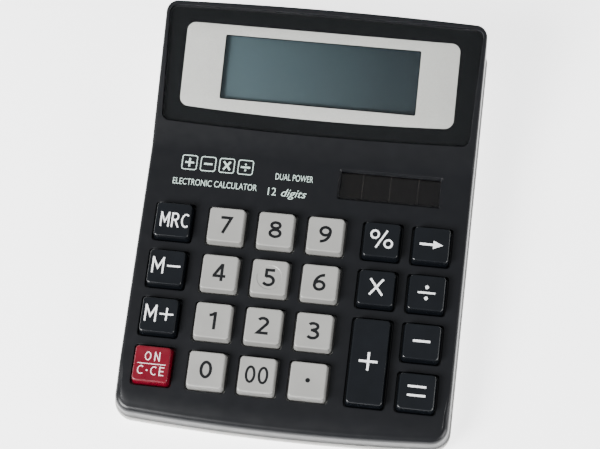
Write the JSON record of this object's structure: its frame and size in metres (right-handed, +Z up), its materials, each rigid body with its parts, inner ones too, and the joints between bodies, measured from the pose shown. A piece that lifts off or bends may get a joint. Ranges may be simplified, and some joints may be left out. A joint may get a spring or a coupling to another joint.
{
  "type": "desk calculator",
  "caption": "Small desk calculator: wedge case, raised tilted display, rows of square sprung keys with one tall key, solar cell strip and a hinged battery cover.",
  "frame": {"origin": "on the table, under the middle of the case", "axes": "+X to the user's right, +Y from the user towards the display, +Z up"},
  "size_m": [0.1154, 0.149, 0.0352],
  "materials": {
    "black_case": "fine satin texture, near black",
    "grey_case": "fine satin texture, light warm grey",
    "black_key": "semi-gloss, white legends",
    "grey_key": "satin, light warm grey, dark legends",
    "red_key": "semi-gloss red, pale legends",
    "lens": "clear acrylic, polished",
    "silver_print": "black and silver print on film",
    "lcd_glass": "grey-green liquid crystal glass",
    "foil": "matt foil",
    "white_plastic": "moulded, natural white",
    "ribbon": "amber film",
    "clear_window": "clear acrylic, polished",
    "solar": "amorphous silicon on glass, brown-black",
    "board": "green solder mask",
    "epoxy": "black resin",
    "mat_rubber": "silicone, translucent grey",
    "foot_rubber": "matt black",
    "steel": "nickel plated",
    "red_wire": "PVC sleeve",
    "black_wire": "PVC sleeve"
  },
  "bodies": {
    "case": {"top_case": "black_case", "bottom_case": "grey_case", "display_lens": "lens", "display_mask": "silver_print", "lcd_panel": "lcd_glass", "lcd_reflector": "foil", "lcd_retainer": "white_plastic", "lcd_ribbon": "ribbon", "solar_window": "clear_window", "solar_cell": "solar", "solar_wire_positive": "red_wire", "solar_wire_negative": "black_wire", "main_board": "board", "chip_cover": "epoxy", "board_capacitor": "epoxy", "key_mat": "mat_rubber", "battery_cell": "steel", "battery_contact_positive": "steel", "battery_contact_negative": "steel", "battery_wire_positive": "red_wire", "battery_wire_negative": "black_wire", "foot_1": "foot_rubber", "foot_2": "foot_rubber", "foot_3": "foot_rubber", "foot_4": "foot_rubber", "case_screw_1": "steel", "case_screw_2": "steel", "case_screw_3": "steel", "case_screw_4": "steel", "case_screw_5": "steel", "case_screw_6": "steel", "board_screw_1": "steel", "board_screw_2": "steel", "board_screw_3": "steel", "board_screw_4": "steel"},
    "key_memory_recall": {"key_memory_recall": "black_key"},
    "key_7": {"key_7": "grey_key"},
    "key_8": {"key_8": "grey_key"},
    "key_9": {"key_9": "grey_key"},
    "key_percent": {"key_percent": "black_key"},
    "key_backspace": {"key_backspace": "black_key"},
    "key_memory_minus": {"key_memory_minus": "black_key"},
    "key_4": {"key_4": "grey_key"},
    "key_5": {"key_5": "grey_key"},
    "key_6": {"key_6": "grey_key"},
    "key_multiply": {"key_multiply": "black_key"},
    "key_divide": {"key_divide": "black_key"},
    "key_memory_plus": {"key_memory_plus": "black_key"},
    "key_1": {"key_1": "grey_key"},
    "key_2": {"key_2": "grey_key"},
    "key_3": {"key_3": "grey_key"},
    "key_plus": {"key_plus": "black_key"},
    "key_minus": {"key_minus": "black_key"},
    "key_on_clear": {"key_on_clear": "red_key"},
    "key_0": {"key_0": "grey_key"},
    "key_00": {"key_00": "grey_key"},
    "key_point": {"key_point": "grey_key"},
    "key_equals": {"key_equals": "black_key"},
    "battery_cover": {"battery_cover": "grey_case"}
  },
  "joints": [
    {"name": "key_memory_recall_press", "type": "slide", "parent": "case", "child": "key_memory_recall", "axis": [0, 0.0872, -0.9962], "range_m": [0, 0.0012], "stiffness_N_per_m": 400, "springref_m": -0.0006, "deforming": ["key_mat"]},
    {"name": "key_7_press", "type": "slide", "parent": "case", "child": "key_7", "axis": [0, 0.0872, -0.9962], "range_m": [0, 0.0012], "stiffness_N_per_m": 400, "springref_m": -0.0006, "deforming": ["key_mat"]},
    {"name": "key_8_press", "type": "slide", "parent": "case", "child": "key_8", "axis": [0, 0.0872, -0.9962], "range_m": [0, 0.0012], "stiffness_N_per_m": 400, "springref_m": -0.0006, "deforming": ["key_mat"]},
    {"name": "key_9_press", "type": "slide", "parent": "case", "child": "key_9", "axis": [0, 0.0872, -0.9962], "range_m": [0, 0.0012], "stiffness_N_per_m": 400, "springref_m": -0.0006, "deforming": ["key_mat"]},
    {"name": "key_percent_press", "type": "slide", "parent": "case", "child": "key_percent", "axis": [0, 0.0872, -0.9962], "range_m": [0, 0.0012], "stiffness_N_per_m": 400, "springref_m": -0.0006, "deforming": ["key_mat"]},
    {"name": "key_backspace_press", "type": "slide", "parent": "case", "child": "key_backspace", "axis": [0, 0.0872, -0.9962], "range_m": [0, 0.0012], "stiffness_N_per_m": 400, "springref_m": -0.0006, "deforming": ["key_mat"]},
    {"name": "key_memory_minus_press", "type": "slide", "parent": "case", "child": "key_memory_minus", "axis": [0, 0.0872, -0.9962], "range_m": [0, 0.0012], "stiffness_N_per_m": 400, "springref_m": -0.0006, "deforming": ["key_mat"]},
    {"name": "key_4_press", "type": "slide", "parent": "case", "child": "key_4", "axis": [0, 0.0872, -0.9962], "range_m": [0, 0.0012], "stiffness_N_per_m": 400, "springref_m": -0.0006, "deforming": ["key_mat"]},
    {"name": "key_5_press", "type": "slide", "parent": "case", "child": "key_5", "axis": [0, 0.0872, -0.9962], "range_m": [0, 0.0012], "stiffness_N_per_m": 400, "springref_m": -0.0006, "deforming": ["key_mat"]},
    {"name": "key_6_press", "type": "slide", "parent": "case", "child": "key_6", "axis": [0, 0.0872, -0.9962], "range_m": [0, 0.0012], "stiffness_N_per_m": 400, "springref_m": -0.0006, "deforming": ["key_mat"]},
    {"name": "key_multiply_press", "type": "slide", "parent": "case", "child": "key_multiply", "axis": [0, 0.0872, -0.9962], "range_m": [0, 0.0012], "stiffness_N_per_m": 400, "springref_m": -0.0006, "deforming": ["key_mat"]},
    {"name": "key_divide_press", "type": "slide", "parent": "case", "child": "key_divide", "axis": [0, 0.0872, -0.9962], "range_m": [0, 0.0012], "stiffness_N_per_m": 400, "springref_m": -0.0006, "deforming": ["key_mat"]},
    {"name": "key_memory_plus_press", "type": "slide", "parent": "case", "child": "key_memory_plus", "axis": [0, 0.0872, -0.9962], "range_m": [0, 0.0012], "stiffness_N_per_m": 400, "springref_m": -0.0006, "deforming": ["key_mat"]},
    {"name": "key_1_press", "type": "slide", "parent": "case", "child": "key_1", "axis": [0, 0.0872, -0.9962], "range_m": [0, 0.0012], "stiffness_N_per_m": 400, "springref_m": -0.0006, "deforming": ["key_mat"]},
    {"name": "key_2_press", "type": "slide", "parent": "case", "child": "key_2", "axis": [0, 0.0872, -0.9962], "range_m": [0, 0.0012], "stiffness_N_per_m": 400, "springref_m": -0.0006, "deforming": ["key_mat"]},
    {"name": "key_3_press", "type": "slide", "parent": "case", "child": "key_3", "axis": [0, 0.0872, -0.9962], "range_m": [0, 0.0012], "stiffness_N_per_m": 400, "springref_m": -0.0006, "deforming": ["key_mat"]},
    {"name": "key_plus_press", "type": "slide", "parent": "case", "child": "key_plus", "axis": [0, 0.0872, -0.9962], "range_m": [0, 0.0012], "stiffness_N_per_m": 400, "springref_m": -0.0006, "deforming": ["key_mat"]},
    {"name": "key_minus_press", "type": "slide", "parent": "case", "child": "key_minus", "axis": [0, 0.0872, -0.9962], "range_m": [0, 0.0012], "stiffness_N_per_m": 400, "springref_m": -0.0006, "deforming": ["key_mat"]},
    {"name": "key_on_clear_press", "type": "slide", "parent": "case", "child": "key_on_clear", "axis": [0, 0.0872, -0.9962], "range_m": [0, 0.0012], "stiffness_N_per_m": 400, "springref_m": -0.0006, "deforming": ["key_mat"]},
    {"name": "key_0_press", "type": "slide", "parent": "case", "child": "key_0", "axis": [0, 0.0872, -0.9962], "range_m": [0, 0.0012], "stiffness_N_per_m": 400, "springref_m": -0.0006, "deforming": ["key_mat"]},
    {"name": "key_00_press", "type": "slide", "parent": "case", "child": "key_00", "axis": [0, 0.0872, -0.9962], "range_m": [0, 0.0012], "stiffness_N_per_m": 400, "springref_m": -0.0006, "deforming": ["key_mat"]},
    {"name": "key_point_press", "type": "slide", "parent": "case", "child": "key_point", "axis": [0, 0.0872, -0.9962], "range_m": [0, 0.0012], "stiffness_N_per_m": 400, "springref_m": -0.0006, "deforming": ["key_mat"]},
    {"name": "key_equals_press", "type": "slide", "parent": "case", "child": "key_equals", "axis": [0, 0.0872, -0.9962], "range_m": [0, 0.0012], "stiffness_N_per_m": 400, "springref_m": -0.0006, "deforming": ["key_mat"]},
    {"name": "battery_cover_hinge", "type": "hinge", "parent": "case", "child": "battery_cover", "pos_m": [0, 0.04785, 0.001], "axis": [1, 0, 0], "range_deg": [0, 50]}
  ]
}
